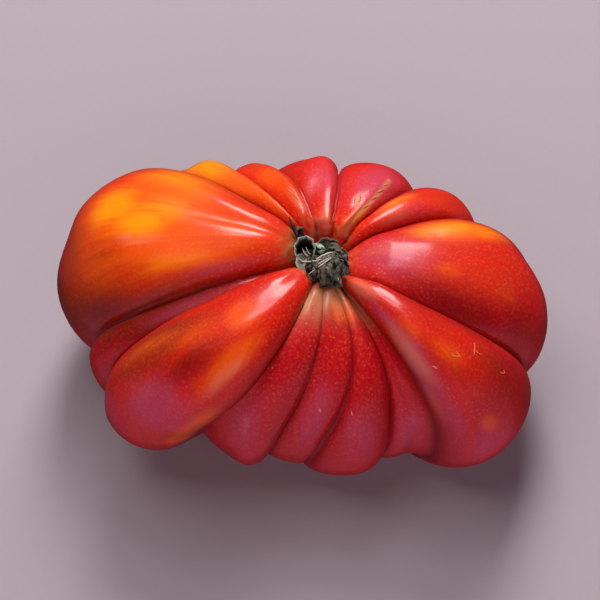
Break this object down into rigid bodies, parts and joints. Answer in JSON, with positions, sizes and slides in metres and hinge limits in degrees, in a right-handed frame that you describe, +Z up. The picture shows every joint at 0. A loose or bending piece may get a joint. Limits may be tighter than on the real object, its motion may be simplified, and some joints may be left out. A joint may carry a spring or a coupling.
{
  "type": "tomato",
  "caption": "Ribbed beefsteak tomato with deep folded lobes round its stalk cavity, resting on its blossom end, with a dried calyx and stalk stub.",
  "frame": {"origin": "on the ground, under the middle of the whole tomato's box", "axes": "+Z up along the stalk's axis, +X along the long way of the fruit towards its smaller end, +Y towards its straighter back side"},
  "size_m": [0.1212, 0.0808, 0.0561],
  "materials": {
    "skin": "smooth waxy fruit skin, red with orange and yellow shoulders, maroon in the folds, soft gloss",
    "dried_calyx": "dry papery plant tissue, grey-brown to olive black, rough, with pale straw fibres"
  },
  "bodies": {
    "root": {"fruit": "skin", "calyx": "dried_calyx"}
  },
  "joints": []
}
